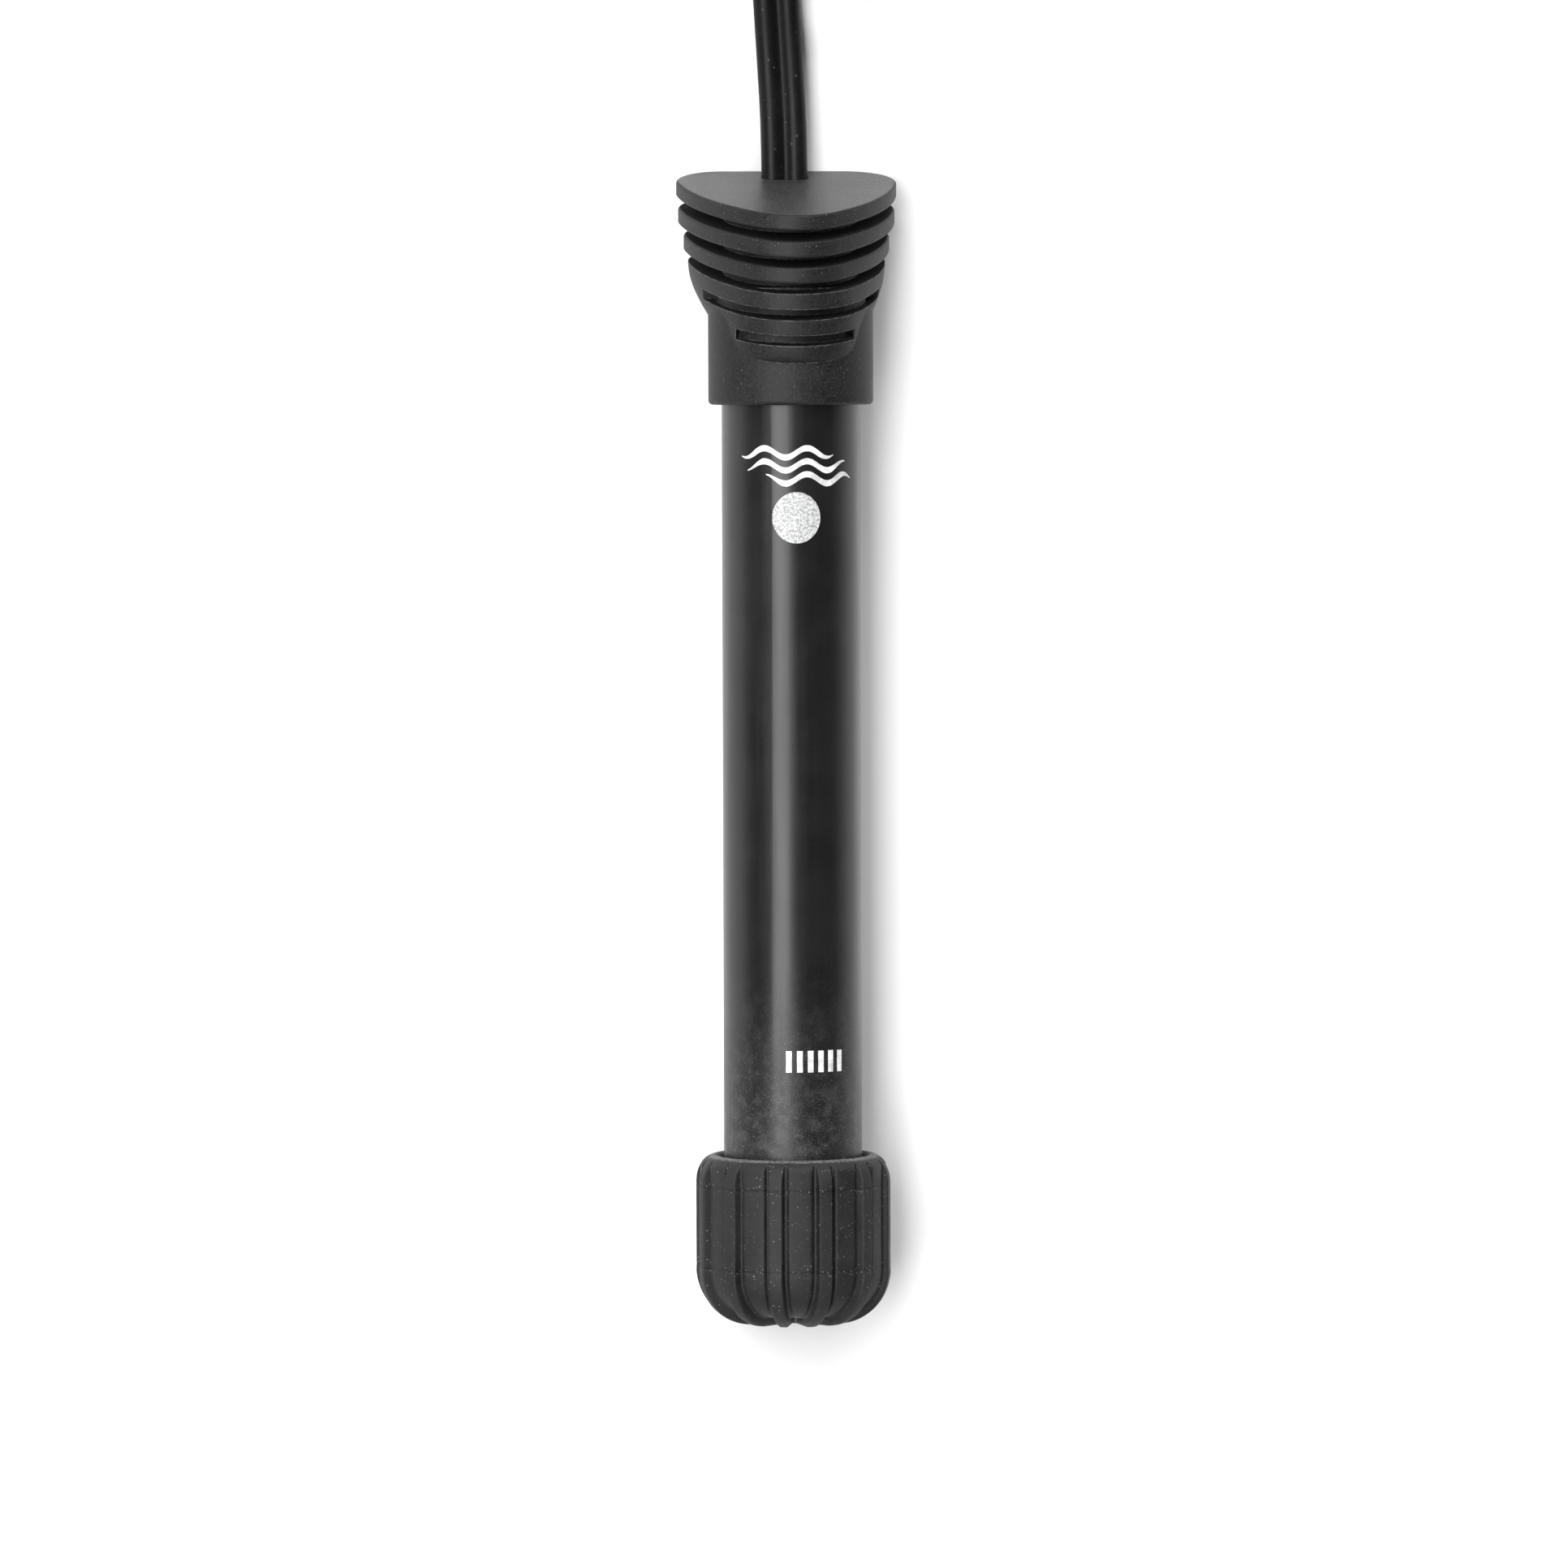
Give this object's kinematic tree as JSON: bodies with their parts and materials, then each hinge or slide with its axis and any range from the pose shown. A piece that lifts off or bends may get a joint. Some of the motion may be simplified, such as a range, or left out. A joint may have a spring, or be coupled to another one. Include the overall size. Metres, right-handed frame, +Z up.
{
  "type": "submersible aquarium heater",
  "caption": "Slim tube heater for an aquarium: black casing with a round light window, finned tilted cap, flat lead and a ribbed rubber foot guard.",
  "frame": {"origin": "centre of the heater's footprint on the table it lies on, measured without its lead", "axes": "+Y along the tube from the foot guard to the cap and its lead, +Z up from the table towards the light window, +X across"},
  "size_m": [0.0654, 0.372, 0.034],
  "materials": {
    "casing": "satin black, faintly grained",
    "cap": "fine-grained matte charcoal",
    "window": "frosted white, speckled",
    "guard": "matte moulded rubber",
    "lead_jacket": "glossy black",
    "seal": "soft black",
    "wire_brown": "brown insulation",
    "wire_blue": "blue insulation",
    "board": "fibre board",
    "brass": "stamped brass",
    "bimetal": "rolled strip",
    "contact": "silver alloy",
    "steel": "plated steel",
    "magnet": "nickel plated",
    "lamp_glass": "clear",
    "resistor": "lacquered",
    "holder": "white moulded",
    "ceramic": "unglazed ceramic",
    "resistance_wire": "drawn wire",
    "sand": "packed quartz sand",
    "cushion": "ceramic fibre",
    "strap": "woven strap",
    "plug": "moulded vinyl",
    "blade": "plated brass"
  },
  "bodies": {
    "heater": {"casing_tube": "casing", "light_window": "window", "head_cap": "cap", "cord_anchor": "seal", "seal_bung": "seal", "bung_o_rings": "seal", "inner_lead_live": "wire_brown", "inner_lead_neutral": "wire_blue", "thermostat_board": "board", "board_rivets": "brass", "strip_anchor": "brass", "contact_post": "brass", "screw_bridge": "brass", "snap_magnet": "magnet", "thermal_fuse": "holder", "lamp_resistor": "resistor", "indicator_lamp": "lamp_glass", "lamp_holder": "holder", "ceramic_core": "ceramic", "heating_coil": "resistance_wire", "upper_disc": "ceramic", "lower_disc": "ceramic", "element_leads": "resistance_wire", "sand_fill": "sand", "bottom_cushion": "cushion", "cord_lead": "lead_jacket", "cord_hank": "lead_jacket", "cord_tail": "lead_jacket", "cord_tie": "strap", "plug_body": "plug", "plug_blades": "blade"},
    "guard": {"foot_guard": "guard"},
    "thermostat_arm": {"bimetal_strip": "bimetal", "moving_contact": "contact"},
    "contact_arm": {"contact_spring": "steel", "fixed_contact": "contact"},
    "calibration": {"calibration_screw": "steel"}
  },
  "joints": [
    {"name": "guard_pull", "type": "slide", "parent": "heater", "child": "guard", "axis": [0, -1, 0], "range_m": [0, 0.03]},
    {"name": "strip_bend", "type": "hinge", "parent": "heater", "child": "thermostat_arm", "pos_m": [0, 0.05552, 0.01569], "axis": [-1, 0, 0], "range_deg": [0, 3], "stiffness_Nm_per_rad": 0.002},
    {"name": "screw_turn", "type": "hinge", "parent": "heater", "child": "calibration", "pos_m": [0, 0.03002, 0.01471], "axis": [0, 0, -1], "range_deg": [0, 180]},
    {"name": "contact_set", "type": "hinge", "parent": "heater", "child": "contact_arm", "pos_m": [0, 0.02762, 0.01354], "axis": [-1, 0, 0], "range_deg": [0, 1]}
  ],
  "couplings": [
    {"joint": "contact_set", "follows": "screw_turn", "ratio": 0.0053}
  ]
}
